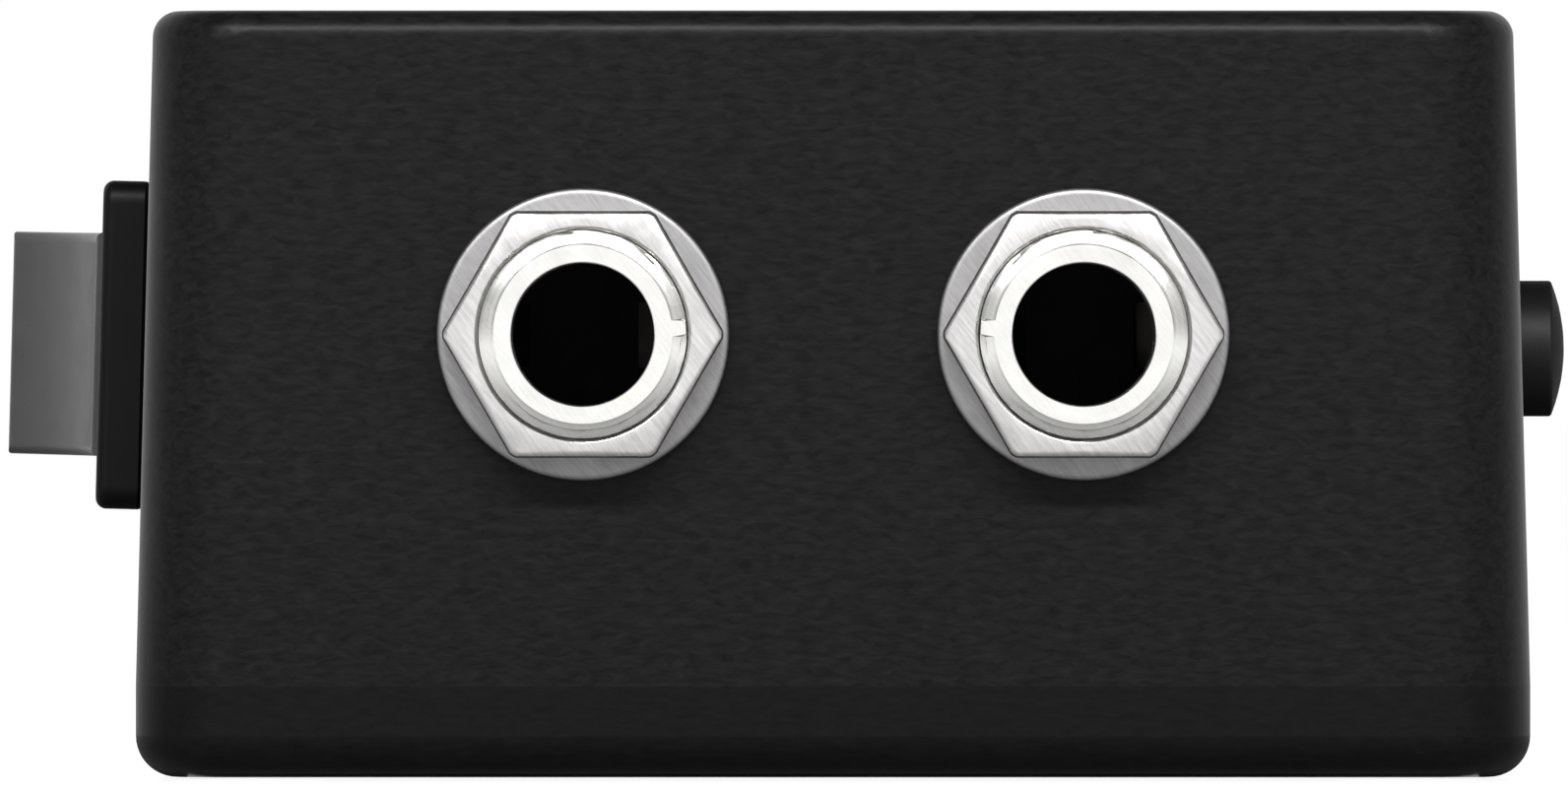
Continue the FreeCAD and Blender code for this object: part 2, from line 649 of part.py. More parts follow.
def rocker_button():
    tips = {side: on_sweep(side, ROCKER_TIP) for side in (-1, 1)}
    skirts = {side: on_sweep(side, ROCKER_SKIRT) for side in (-1, 1)}
    ends = {side: on_sweep(side, (ROCKER_TIP + ROCKER_SKIRT) / 2) for side in (-1, 1)}
    shoulders = {side: Vector(side * (HUB_HALF_L + 1.2), 0, -2.6) for side in (-1, 1)}
    underside = [skirts[1], shoulders[1], shoulders[-1], skirts[-1]]
    edges = [Part.Arc(tips[-1], Vector(0, 0, ROCKER_DISH_Z), tips[1]).toShape()]
    edges.append(Part.Arc(tips[1], ends[1], skirts[1]).toShape())
    edges += [Part.LineSegment(a, b).toShape() for a, b in zip(underside, underside[1:])]
    edges.append(Part.Arc(skirts[-1], ends[-1], tips[-1]).toShape())
    cap = Part.Face(Part.Wire(edges)).extrude(Vector(0, ROCKER_W, 0))
    cap.translate(Vector(0, -ROCKER_W / 2, 0))
    cap = fillet(cap, 0.45, lambda e: e.BoundBox.ZMin > ROCKER_DISH_Z - 0.2)
    hub = box(about(0, HUB_HALF_L), about(0, HUB_HALF_L), (HUB_LOW, -2))
    pins = rod(PIN_R, (0, -6.15, PIVOT_Z), (0, 6.15, PIVOT_Z))
    bore = rod(PLUNGER_BORE_R, (0, 0, HUB_LOW - 1), (0, 0, -1.4))
    return tilted(fuse([cap, hub, pins]).cut(bore), ROCKER_TILT, PIVOT_Z)


def rocker_plunger():
    pin = rod(PLUNGER_R, (0, 0, PLUNGER_TIP + PLUNGER_R), (0, 0, -4.6))
    tip = Part.makeSphere(PLUNGER_R, Vector(0, 0, PLUNGER_TIP + PLUNGER_R))
    return tilted(fuse([pin, tip]), ROCKER_TILT, PIVOT_Z)


def rocker_spring():
    return tilted(coil(1.15, 0.2, 0.75, 2.6, (0, 0, -4.3), (0, 0, 1)), ROCKER_TILT, PIVOT_Z)


def contact_arm():
    """The see-saw blade that the plunger tips; it is bent in its own XY plane and then stood up."""
    path = [(-ARM_HALF_L, ARM_RISE), (0, 0), (ARM_HALF_L, ARM_RISE)]
    blade = bent_strip(path, ARM_T, -2.4, 2.4)
    blade.rotate(Vector(), Vector(1, 0, 0), 90)
    blade.translate(Vector(0, 0, ARM_Z))
    return tilted(blade, -ARM_TILT, ARM_Z)


def terminal_blade(x, top, pad_x):
    """A solder terminal through the frame's floor, with a contact pad where pad_x is given."""
    blade = box(about(x, BLADE_T / 2), about(0, BLADE_W / 2), (BLADE_LOW, top))
    eye = rod(0.8, (x - 1, 0, BLADE_LOW + 2), (x + 1, 0, BLADE_LOW + 2))
    blade = blade.cut(eye)
    if pad_x is None:
        return blade
    shelf = box(sorted((x - BLADE_T / 2, pad_x + 1.2)), about(0, BLADE_W / 2), (top - 0.5, top))
    pad = rod(1.1, (pad_x, 0, top - 0.1), (pad_x, 0, top + 0.4))
    return fuse([blade, shelf, pad])


def switch_leads():
    """Two short insulated leads from the rocker's blades up to the board."""
    end_x = -wall_half_width(ROCKER_Z) - BLADE_LOW * math.cos(DRAFT)
    end_z = ROCKER_Z + BLADE_LOW * math.sin(DRAFT)
    leads = []
    for local_x in (0, BLADE_BACK_X):
        y = SIDE_Y - local_x
        bend_x = end_x + 3.6
        leads.append(wire([(end_x + 0.05, y, end_z), (bend_x, y, end_z), (bend_x, y, BOARD_LOW)], 0.7))
    return leads


# ---- stereo/mono button --------------------------------------------------------------------------
def side_point(x, dy=0.0, dz=0.0):
    """A point at an X on the button's axis, or off it."""
    return (x, SIDE_Y + dy, BUTTON_Z + dz)


def button_cap():
    tip = wall_half_width(BUTTON_Z) + CAP_PROUD
    dome_r = (CAP_R**2 + CAP_DOME**2) / (2 * CAP_DOME)
    stalk = rod(CAP_R, side_point(CAP_BACK_X), side_point(tip))
    dome = Part.makeSphere(dome_r, Vector(*side_point(tip - dome_r)))
    stalk = fillet(stalk.common(dome), 0.18, lambda e: e.BoundBox.XMin > tip - CAP_DOME - 0.05)
    flange = rod(CAP_FLANGE_R, side_point(CAP_BACK_X), side_point(CAP_BACK_X + 1))
    socket_half = STEM_HALF + 0.05
    socket_x = (CAP_BACK_X - 1, CAP_BACK_X + 4.5)
    socket = box(socket_x, about(SIDE_Y, socket_half), about(BUTTON_Z, socket_half))
    return fuse([stalk, flange]).cut(socket)


def button_stem():
    """The switch's plunger: a square stem held in the cap, and a slider block inside the case."""
    stem = box((CASE_X[0] + 3.2, CAP_BACK_X + 4.4), about(SIDE_Y, STEM_HALF), about(BUTTON_Z, STEM_HALF))
    slider = box((CASE_X[0] + 3.2, CASE_X[0] + 5.2), about(SIDE_Y, 2.8), about(BUTTON_Z, 2.8))
    return fuse([stem, slider])


def button_case():
    case = box(CASE_X, about(SIDE_Y, CASE_HALF), about(BUTTON_Z, CASE_HALF))
    case = fillet(case, 0.4, lambda e: runs_along(e, "x"))
    chamber = box((CASE_X[0] + 0.8, CASE_X[1] - 0.9), about(SIDE_Y, 3.0), about(BUTTON_Z, 3.0))
    gate_half = STEM_HALF + 0.15
    gate = box((CASE_X[1] - 2, CASE_X[1] + 1), about(SIDE_Y, gate_half), about(BUTTON_Z, gate_half))
    return case.cut(chamber).cut(gate)


def button_spring():
    """The return coil around the stem, between the case and the cap."""
    length = CAP_BACK_X - CASE_X[1] - 2 * (BUTTON_WIRE_R + 0.08)
    start = side_point(CASE_X[1] + BUTTON_WIRE_R + 0.08)
    return coil(2.75, BUTTON_WIRE_R, length / BUTTON_COILS, length, start, (1, 0, 0))


def sub_board_x():
    return (CASE_X[0] - SUB_BOARD_T, CASE_X[0])


def button_pin_offsets():
    return [(dy, dz) for dy in (-2.0, 0.0, 2.0) for dz in (-2.5, 2.5)]


def button_board():
    board = box(sub_board_x(), about(SIDE_Y, 6.0), (BUTTON_Z - 6.0, BOARD_LOW))
    drills = [rod(0.45, side_point(0, dy, dz), side_point(30, dy, dz)) for dy, dz in button_pin_offsets()]
    return board.cut(Part.makeCompound(drills))


def button_pins():
    inner, outer = sub_board_x()
    pins = []
    for dy, dz in button_pin_offsets():
        pins.append(rod(0.35, side_point(inner - 0.7, dy, dz), side_point(outer, dy, dz)))
    return pins


# ---- volume control ------------------------------------------------------------------------------
def rear_point(y, dx=0.0, dz=0.0):
    """A point at a Y on the volume shaft's axis, or off it."""
    return (dx, y, AXIS_Z + dz)


POT_FACE = REAR - WALL
CHAMBERS = [(POT_FACE - 1.8 - CHAMBER_L, POT_FACE - 1.8), (POT_FACE - 6.8 - CHAMBER_L, POT_FACE - 6.8)]


def volume_case():
    case = box(about(0, POT_HALF_X), (POT_FACE - POT_DEPTH, POT_FACE - 1.0), (AXIS_Z - POT_DROP, BOARD_LOW))
    case = fillet(case, 0.6, lambda e: runs_along(e, "y") and e.BoundBox.ZMax < AXIS_Z)
    cutters = [rod(CHAMBER_R, rear_point(low), rear_point(high)) for low, high in CHAMBERS]
    cutters.append(rod(CORE_R + 0.1, rear_point(CHAMBERS[1][0]), rear_point(POT_FACE)))
    cutters += [box(about(x, 0.45), about(y, 0.3), (AXIS_Z, BOARD_LOW + 1)) for x, y in volume_pin_places()]
    return case.cut(Part.makeCompound(cutters))


def volume_pin_places():
    return [(dx, low + 0.3) for low, high in CHAMBERS for dx in (-2.5, 0.0, 2.5)]


def volume_tracks():
    """The two resistance wafers at the backs of their chambers."""
    wafers = []
    for low, high in CHAMBERS:
        wafers.append(tube(CHAMBER_R - 0.05, CORE_R + 0.3, rear_point(low + 0.65), rear_point(low + 1.15)))
    return wafers


def volume_pins():
    rise = (AXIS_Z + 3.2, BOARD_HIGH + LEAD_PROUD)
    return [box(about(x, 0.35), about(y, 0.2), rise) for x, y in volume_pin_places()]


def volume_bush():
    plate = box(about(0, POT_HALF_X), (POT_FACE - 1.0, POT_FACE), (AXIS_Z - POT_DROP, BOARD_LOW - 0.2))
    neck = rod(BUSH_R, rear_point(POT_FACE - 0.5), rear_point(REAR + BUSH_PROUD))
    neck = neck.makeChamfer(0.35, [e for e in neck.Edges if e.BoundBox.YMin > REAR + BUSH_PROUD - 0.01])
    bore = rod(SHAFT_BORE_R, rear_point(POT_FACE - 2), rear_point(REAR + BUSH_PROUD + 1))
    return fuse([plate, neck]).cut(bore)


def volume_washer():
    return tube(5.8, BUSH_R + 0.1, rear_point(REAR), rear_point(REAR + POT_WASHER_T))


def volume_nut():
    start = REAR + POT_WASHER_T
    end = start + POT_NUT_T
    nut = hexagon(POT_NUT_ACROSS, (start, end), 0, AXIS_Z)
    corner_r = POT_NUT_ACROSS / math.sqrt(3)
    skirt = rod(corner_r, rear_point(start), rear_point(end - 0.5))
    crown = cone(corner_r, POT_NUT_ACROSS / 2, rear_point(end - 0.5), rear_point(end))
    bore = rod(BUSH_R + 0.05, rear_point(start - 1), rear_point(end + 1))
    return nut.common(fuse([skirt, crown])).cut(bore)


def volume_shaft():
    """A 6 mm shaft with a flat for the set screw, and the slimmer core that carries the wipers."""
    core = rod(CORE_R, rear_point(CHAMBERS[1][0] + 0.2), rear_point(POT_FACE - 0.5))
    shaft = rod(SHAFT_R, rear_point(POT_FACE - 0.9), rear_point(REAR + KNOB_GAP + KNOB_L - 2))
    flat_y = (REAR + BUSH_PROUD + 1, REAR + KNOB_GAP + KNOB_L)
    flat = box((1.6, SHAFT_R + 1), flat_y, about(AXIS_Z, SHAFT_R + 1))
    return fuse([core, shaft]).cut(flat)


def volume_wipers():
    """Two insulating discs with sprung fingers that press towards their tracks."""
    wipers = []
    for low, high in CHAMBERS:
        disc = tube(CHAMBER_R - 0.2, CORE_R + 0.02, rear_point(high - 1.0), rear_point(high - 0.3))
        finger = box(about(0, 0.6), (low + 1.25, high - 0.9), (AXIS_Z + 2.5, AXIS_Z + 3.7))
        wipers.append(fuse([disc, finger]))
    return wipers


KNOB_START = REAR + KNOB_GAP
KNOB_END = KNOB_START + KNOB_L
SET_SCREW_Y = KNOB_START + 7.6


def pointer_box():
    """The space of the white index, on the knob's face and down its side."""
    rise = (AXIS_Z + 2.2, AXIS_Z + KNOB_BASE_R + 1)
    return box(about(0, POINTER_W / 2), (KNOB_START + 1.6, KNOB_END + 1), rise)


def knob_blank():
    blank = cone(KNOB_BASE_R, KNOB_TOP_R, rear_point(KNOB_START), rear_point(KNOB_END))
    blank = fillet(blank, 0.9, lambda e: e.BoundBox.YMin > KNOB_END - 0.01)
    return fillet(blank, 0.3, lambda e: e.BoundBox.YMax < KNOB_START + 0.01)


def knob_skin():
    """The outer layer of the blank's side and face, as deep as the pointer is."""
    radii = (KNOB_BASE_R - POINTER_DEPTH, KNOB_TOP_R - POINTER_DEPTH)
    inner = cone(*radii, rear_point(KNOB_START - 1), rear_point(KNOB_END - POINTER_DEPTH))
    return knob_blank().cut(inner)


def volume_knob():
    knob = knob_blank()
    flutes = []
    for i in range(KNOB_FLUTES):
        turn = 2 * math.pi * (i + 0.5) / KNOB_FLUTES
        ends = []
        for y, r in ((KNOB_START + 2.2, KNOB_BASE_R + 0.3), (KNOB_END + 1, KNOB_TOP_R + 0.3)):
            ends.append(rear_point(y, r * math.sin(turn), r * math.cos(turn)))
        flutes.append(rod(KNOB_FLUTE_R, *ends))
    knob = knob.cut(Part.makeCompound(flutes))
    well = rod(KNOB_WELL_R, rear_point(KNOB_START - 1), rear_point(KNOB_START + KNOB_WELL_L))
    bore = rod(SHAFT_R + 0.02, rear_point(KNOB_START), rear_point(KNOB_END - 1.6))
    screw_hole = rod(SET_SCREW_R + 0.05, rear_point(SET_SCREW_Y), rear_point(SET_SCREW_Y, KNOB_BASE_R + 1))
    return knob.cut(Part.makeCompound([well, bore, screw_hole])).cut(pointer_box().common(knob_skin()))


def knob_pointer():
    return pointer_box().common(knob_skin())


def knob_set_screw():
    screw = rod(SET_SCREW_R, rear_point(SET_SCREW_Y, 1.7), rear_point(SET_SCREW_Y, 7.0))
    corner_r = 0.85
    outline = []
    for step in range(6):
        turn = math.radians(60 * step)
        outline.append((5.0, SET_SCREW_Y + corner_r * math.cos(turn), AXIS_Z + corner_r * math.sin(turn)))
    return screw.cut(prism(outline, (3, 0, 0)))


# ---- lamp ----------------------------------------------------------------------------------------
def lamp_point(y, dx=0.0):
    return (LAMP_X + dx, y, AXIS_Z)


def power_lamp():
    base = REAR - 4.9
    body = rod(LAMP_R, lamp_point(base), lamp_point(REAR + 0.9))
    dome = Part.makeSphere(LAMP_R, Vector(*lamp_point(REAR + 0.9)))
    return fuse([body, dome, rod(LAMP_FLANGE_R, lamp_point(base), lamp_point(base + 1))])


def lamp_bezel():
    sleeve = rod(LAMP_SLEEVE_R, lamp_point(REAR - 3.7), lamp_point(REAR + 0.5))
    rim = rod(LAMP_BEZEL_R, lamp_point(REAR), lamp_point(REAR + LAMP_BEZEL_T))
    rim = fillet(rim, 0.6, lambda e: e.BoundBox.YMin > REAR + LAMP_BEZEL_T - 0.01)
    return fuse([sleeve, rim]).cut(rod(LAMP_R + 0.05, lamp_point(REAR - 5), lamp_point(REAR + 3)))


LAMP_LEAD_Y = REAR - 8.5


def lamp_leads():
    leads = []
    for dx in (-1.27, 1.27):
        x = LAMP_X + dx
        top = (x, LAMP_LEAD_Y, BOARD_HIGH + LEAD_PROUD)
        leads.append(wire([(x, REAR - 4.9, AXIS_Z), (x, LAMP_LEAD_Y, AXIS_Z), top], 0.25))
    return leads


# ---- battery -------------------------------------------------------------------------------------
def battery_point(x, dy=0.0):
    return (x, sum(BATTERY_Y) / 2 + dy, sum(BATTERY_Z) / 2)


def battery():
    can = box(BATTERY_X, BATTERY_Y, BATTERY_Z)
    can = fillet(can, BATTERY_EDGE_R, lambda e: runs_along(e, "x"))
    return fillet(can, 0.5, lambda e: e.BoundBox.XLength < 0.01)


def battery_snaps():
    """The small round stud and the large flared one, each an open cup."""
    end = BATTERY_X[1]
    studs = []
    for radius, dy in ((SNAP_SMALL_R, SNAP_PITCH / 2), (SNAP_LARGE_R, -SNAP_PITCH / 2)):
        studs.append(tube(radius, radius - 0.5, battery_point(end, dy), battery_point(end + SNAP_L, dy)))
    return studs


def battery_connector():
    """The clip-on strip: a soft cover over a plate that grips both studs."""
    start = BATTERY_X[1] + 0.3
    middle = sum(BATTERY_Z) / 2
    strip = box((start, start + 4.2), about(sum(BATTERY_Y) / 2, 12.4), about(middle, 6.0))
    strip = fillet(strip, 1.2, lambda e: runs_along(e, "x"))
    strip = fillet(strip, 0.8, lambda e: e.BoundBox.XMin > start + 4.1)
    sockets = []
    for radius, dy in ((SNAP_SMALL_R, SNAP_PITCH / 2), (SNAP_LARGE_R, -SNAP_PITCH / 2)):
        sockets.append(rod(radius + 0.15, battery_point(start - 1, dy), battery_point(start + 2.4, dy)))
    return strip.cut(Part.makeCompound(sockets))


# x and z where the leads leave the connector
LEAD_START = (BATTERY_X[1] + 2.6, sum(BATTERY_Z) / 2 + 6.0)


def battery_lead(dy, board_y):
    x, z = LEAD_START
    y = sum(BATTERY_Y) / 2 + dy
    end_x = x - 1.6
    return wire([(x, y, z), (x, y, z + 4.5), (end_x, board_y, z + 8.0), (end_x, board_y, BOARD_LOW)], 0.65)


def battery_holder():
    """A sprung steel U on the lid, its arms bowed in at the battery and flared at the top."""
    y0, y1 = BATTERY_Y
    base = LID_FLOOR + HOLDER_T / 2
    gap = HOLDER_T / 2 + 0.05
    side = [(0.9, base), (gap, base + 0.9), (gap, HOLDER_TOP - 3.0), (gap + 1.2, HOLDER_TOP)]
    path = [(y1 + dy - 2 * 0.9 * (i == 0), z) for i, (dy, z) in enumerate(side)]
    mirror = [(y0 + y1 - y, z) for y, z in path][::-1]
    strip = bent_strip(mirror + path, HOLDER_T, HOLDER_X[0], HOLDER_X[1])
    strip.rotate(Vector(), Vector(1, 1, 1), 120)  # turns XYZ into YZX, so the strip's plane is Y and Z
    rivet_holes = [rod(RIVET_R + 0.05, (x, RIVET_Y, 0), (x, RIVET_Y, 4)) for x in RIVET_X]
    return strip.cut(Part.makeCompound(rivet_holes))


def holder_rivets():
    """Pop rivets through the lid, their flat heads let into its underside."""
    return [rod(RIVET_R, (x, RIVET_Y, 0.05), (x, RIVET_Y, LID_FLOOR + HOLDER_T)) for x in RIVET_X]


# ---- assembly ------------------------------------------------------------------------------------
def lead_places():
    """Every hole that the board needs for a lead, as (x, y, half the lead's width)."""
    places = [(x, y, 0.40) for side in (-1, 1) for x, y in jack_pin_places(side * JACK_X)]
    places += [(x, y, 0.30) for x, y in chip_leg_places()]
    places += [(x, y, 0.30) for x, y in capacitor_lead_places()]
    places += [(x, y + side * RESISTOR_SPAN, 0.30) for x, y in RESISTORS for side in (-1, 1)]
    places += [(x, y, 0.42) for x, y in volume_pin_places()]
    places += [(LAMP_X + dx, LAMP_LEAD_Y, 0.25) for dx in (-1.27, 1.27)]
    return places


def build():
    """Every sub-part by name, as one shape or a list of separate solids."""
    parts = {
        "top_shell": top_shell(),
        "bottom_lid": bottom_lid(),
        "lid_screws": lid_screws(),
        "main_board": main_board(lead_places()),
        "board_screws": board_screws(),
        "amplifier_chips": amplifier_chips(),
        "chip_legs": chip_legs(),
        "electrolytic_capacitors": big_capacitors(),
        "film_capacitors": film_capacitors(),
        "capacitor_leads": capacitor_leads(),
        "resistors": resistors(),
        "rocker_frame": on_left_wall(rocker_frame()),
        "rocker_button": on_left_wall(rocker_button()),
        "rocker_plunger": on_left_wall(rocker_plunger()),
        "rocker_spring": on_left_wall(rocker_spring()),
        "rocker_contact_arm": on_left_wall(contact_arm()),
        "rocker_common_terminal": on_left_wall(terminal_blade(0, ARM_Z - 0.45, None)),
        "rocker_output_terminal": on_left_wall(terminal_blade(BLADE_BACK_X, ARM_Z - 0.75, -5.6)),
        "rocker_leads": switch_leads(),
        "mono_button_cap": button_cap(),
        "mono_button_stem": button_stem(),
        "mono_button_spring": button_spring(),
        "mono_button_case": button_case(),
        "mono_button_pins": button_pins(),
        "mono_button_board": button_board(),
        "volume_case": volume_case(),
        "volume_bush": volume_bush(),
        "volume_washer": volume_washer(),
        "volume_nut": volume_nut(),
        "volume_shaft": volume_shaft(),
        "volume_wipers": volume_wipers(),
        "volume_tracks": volume_tracks(),
        "volume_pins": volume_pins(),
        "volume_knob": volume_knob(),
        "knob_pointer": knob_pointer(),
        "knob_set_screw": knob_set_screw(),
        "power_lamp": power_lamp(),
        "lamp_bezel": lamp_bezel(),
        "lamp_leads": lamp_leads(),
        "battery": battery(),
        "battery_snaps": battery_snaps(),
        "battery_connector": battery_connector(),
        "battery_lead_red": battery_lead(3.0, 18.0),
        "battery_lead_black": battery_lead(-3.0, 10.0),
        "battery_holder": battery_holder(),
        "holder_rivets": holder_rivets(),
    }
    for name, side in (("input_jack", -1), ("phones_jack", 1)):
        x = side * JACK_X
        parts[name + "_bush"] = jack_bush(x)
        parts[name + "_nut"] = jack_nut(x)
        parts[name + "_washer"] = jack_washer(x)
        parts[name + "_housing"] = jack_housing(x)
        for contact, (contact_side, depth) in CONTACTS.items():
            parts[f"{name}_{contact}"] = jack_contact(x, contact_side, depth)
    return parts


def main():
    os.makedirs("parts", exist_ok=True)
    for name, made in build().items():
        solids = [s for shape in (made if isinstance(made, list) else [made]) for s in shape.Solids]
        bad = [s for s in solids if not s.isValid() or s.Volume <= 0]
        if not solids or bad:
            print(f"{name}: {len(bad)} bad of {len(solids)} solids")
        shape = solids[0] if len(solids) == 1 else Part.makeCompound(solids)
        shape.exportStep(f"parts/{name}.step")


main()
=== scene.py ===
"""A pocket headphone amplifier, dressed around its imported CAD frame.

-Y is the end with the two jacks. New pieces are laid out in millimetres and made in metres.
"""

import json
import math

import bpy
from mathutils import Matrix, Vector


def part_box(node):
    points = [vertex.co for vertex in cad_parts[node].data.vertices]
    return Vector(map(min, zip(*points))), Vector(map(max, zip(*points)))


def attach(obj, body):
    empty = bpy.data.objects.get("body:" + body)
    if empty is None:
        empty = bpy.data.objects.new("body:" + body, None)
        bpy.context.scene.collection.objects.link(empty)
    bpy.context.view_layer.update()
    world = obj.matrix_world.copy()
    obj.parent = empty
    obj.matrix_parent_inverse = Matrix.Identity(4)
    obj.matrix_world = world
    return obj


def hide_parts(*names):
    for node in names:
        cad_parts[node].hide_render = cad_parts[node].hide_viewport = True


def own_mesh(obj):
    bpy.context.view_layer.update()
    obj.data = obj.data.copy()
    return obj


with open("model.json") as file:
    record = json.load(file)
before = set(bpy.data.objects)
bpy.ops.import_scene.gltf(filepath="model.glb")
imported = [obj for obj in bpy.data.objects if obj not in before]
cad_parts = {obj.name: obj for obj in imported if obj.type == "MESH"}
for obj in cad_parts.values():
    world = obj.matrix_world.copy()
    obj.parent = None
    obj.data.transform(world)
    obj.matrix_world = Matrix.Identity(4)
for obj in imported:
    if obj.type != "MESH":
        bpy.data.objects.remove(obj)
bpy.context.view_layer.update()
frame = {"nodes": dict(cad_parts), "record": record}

MM = 0.001
SOCKET = next(mount for mount in frame["record"]["mounts"] if mount["name"] == "phones_socket")
JACK_X = SOCKET["pos_m"][0] / MM
AXIS_Z = SOCKET["pos_m"][2] / MM
BORE_R = SOCKET["dims"]["r_mm"]
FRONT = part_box("top_shell")[0][1] / MM  # the outer face of the wall that carries the jacks


# ---- node helpers ----------------------------------------------------------------------------------
NOISE_LOW, NOISE_HIGH = 0.3, 0.7  # nearly all of a noise lies between these


class Paint:
    """A material with a Principled surface and short ways to add procedural detail to it."""

    def __init__(self, name, color, roughness, metallic=0.0, **sockets):
        self.material = bpy.data.materials.new(name)
        self.material.use_nodes = True
        self.tree = self.material.node_tree
        self.tree.nodes.clear()
        self.bsdf = self.add("BsdfPrincipled")
        output = self.add("OutputMaterial")
        self.tree.links.new(self.bsdf.outputs["BSDF"], output.inputs["Surface"])
        self.color = tuple(color) + (1.0,)
        self.roughness = roughness
        self.bsdf.inputs["Base Color"].default_value = self.color
        self.bsdf.inputs["Roughness"].default_value = roughness
        self.bsdf.inputs["Metallic"].default_value = metallic
        for socket, value in sockets.items():
            self.bsdf.inputs[socket.replace("_", " ")].default_value = value
        self.normal = None

    def add(self, kind, **settings):
        made = self.tree.nodes.new("ShaderNode" + kind)
        for key, value in settings.items():
            setattr(made, key, value)
        return made

    def link(self, source, target):
        self.tree.links.new(source, target)
        return target

    def place(self, scale, turn):
        """The piece's own coordinates, turned and then scaled, in cells per metre."""
        spot = self.add("TexCoord").outputs["Object"]
        if any(turn):
            turned = self.add("Mapping")
            turned.inputs["Rotation"].default_value = turn
            spot = self.link(spot, turned.inputs["Vector"]).node.outputs["Vector"]
        mapping = self.add("Mapping")
        mapping.inputs["Scale"].default_value = scale
        return self.link(spot, mapping.inputs["Vector"]).node.outputs["Vector"]

    def noise(self, scale, turn=(0.0, 0.0, 0.0), detail=3.0, roughness=0.55, distortion=0.0):
        """Noise with so many cells in a metre along each axis."""
        made = self.add("TexNoise")
        made.inputs["Scale"].default_value = 1.0
        made.inputs["Detail"].default_value = detail
        made.inputs["Roughness"].default_value = roughness
        made.inputs["Distortion"].default_value = distortion
        self.link(self.place(scale, turn), made.inputs["Vector"])
        return made.outputs["Fac"]

    def shade(self, value, dark, light):
        """The base colour, multiplied by dark where a value is low and by light where it is high."""
        ramp = self.add("ValToRGB")
        stops = ((NOISE_LOW, dark), (NOISE_HIGH, light))
        for element, (position, factor) in zip(ramp.color_ramp.elements, stops):
            element.position = position
            element.color = tuple(min(1.0, c * factor) for c in self.color[:3]) + (1.0,)
        self.link(value, ramp.inputs["Fac"])
        self.link(ramp.outputs["Color"], self.bsdf.inputs["Base Color"])

    def gloss(self, value, spread):
        """Roughness that wanders by a spread either side of its level."""
        made = self.add("MapRange")
        made.inputs["From Min"].default_value = NOISE_LOW
        made.inputs["From Max"].default_value = NOISE_HIGH
        made.inputs["To Min"].default_value = self.roughness - spread
        made.inputs["To Max"].default_value = self.roughness + spread
        self.link(value, made.inputs["Value"])
        self.link(made.outputs["Result"], self.bsdf.inputs["Roughness"])

    def relief(self, value, height):
        """A bump of a height in metres, on top of any bump that is there already."""
        bump = self.add("Bump")
        bump.inputs["Strength"].default_value = 1.0
        bump.inputs["Distance"].default_value = height
        self.link(value, bump.inputs["Height"])
        if self.normal is not None:
            self.link(self.normal, bump.inputs["Normal"])
        self.normal = bump.outputs["Normal"]
        self.link(self.normal, self.bsdf.inputs["Normal"])


# ---- materials -------------------------------------------------------------------------------------
def coated(name, color, roughness, grain):
    """Satin black coating on a casting: fine level grain over a slow unevenness of gloss."""
    paint = Paint(name, color, roughness, Specular_IOR_Level=0.09)
    streaks = paint.noise((1050.0, 3000.0, 3000.0), detail=4.0, roughness=0.62, distortion=0.6)
    paint.shade(streaks, 1.0 - 0.52 * grain, 1.0 + 0.68 * grain)
    paint.gloss(paint.noise((240.0, 240.0, 240.0), detail=5.0), 0.02)
    paint.relief(streaks, 9e-6 * grain)
    paint.relief(paint.noise((1500.0, 1500.0, 1500.0), detail=2.0), 4e-6)
    return paint.material


def plated(name, color, roughness, scratch=1.0):
    """Nickel plate with slanting hairline scratches."""
    paint = Paint(name, color, roughness, metallic=1.0)
    slant = (0.0, math.radians(38), 0.0)
    hairs = paint.noise((9000.0, 700.0, 700.0), slant, detail=3.0, roughness=0.7)
    paint.shade(hairs, 1.0 - 0.22 * scratch, 1.0 + 0.08 * scratch)
    paint.gloss(paint.noise((700.0, 700.0, 700.0), detail=4.0), 0.06)
    paint.relief(hairs, 2.5e-6 * scratch)
    return paint.material


def moulded(name, color, roughness, height=3e-6, cells=1400.0, **sockets):
    """Moulded plastic with a fine spark-eroded grain."""
    paint = Paint(name, color, roughness, **sockets)
    paint.shade(paint.noise((700.0, 700.0, 700.0), detail=5.0), 0.90, 1.10)
    paint.gloss(paint.noise((900.0, 900.0, 900.0), detail=4.0), 0.03)
    paint.relief(paint.noise((cells, cells, cells), detail=2.0), height)
    return paint.material


def metal(name, color, roughness, cells=(600.0, 600.0, 600.0)):
    """Plain metal with uneven polish."""
    paint = Paint(name, color, roughness, metallic=1.0)
    grain = paint.noise(cells, detail=4.0, roughness=0.6)
    paint.shade(grain, 0.88, 1.08)
    paint.gloss(grain, 0.07)
    paint.relief(grain, 2e-6)
    return paint.material


def lamp_plastic():
    """Clear red plastic, a little cloudy."""
    paint = Paint("lamp_plastic", (0.55, 0.015, 0.012), 0.12, Transmission_Weight=0.55, IOR=1.5)
    paint.shade(paint.noise((300.0, 300.0, 300.0)), 0.85, 1.15)
    paint.gloss(paint.noise((500.0, 500.0, 500.0)), 0.03)
    return paint.material


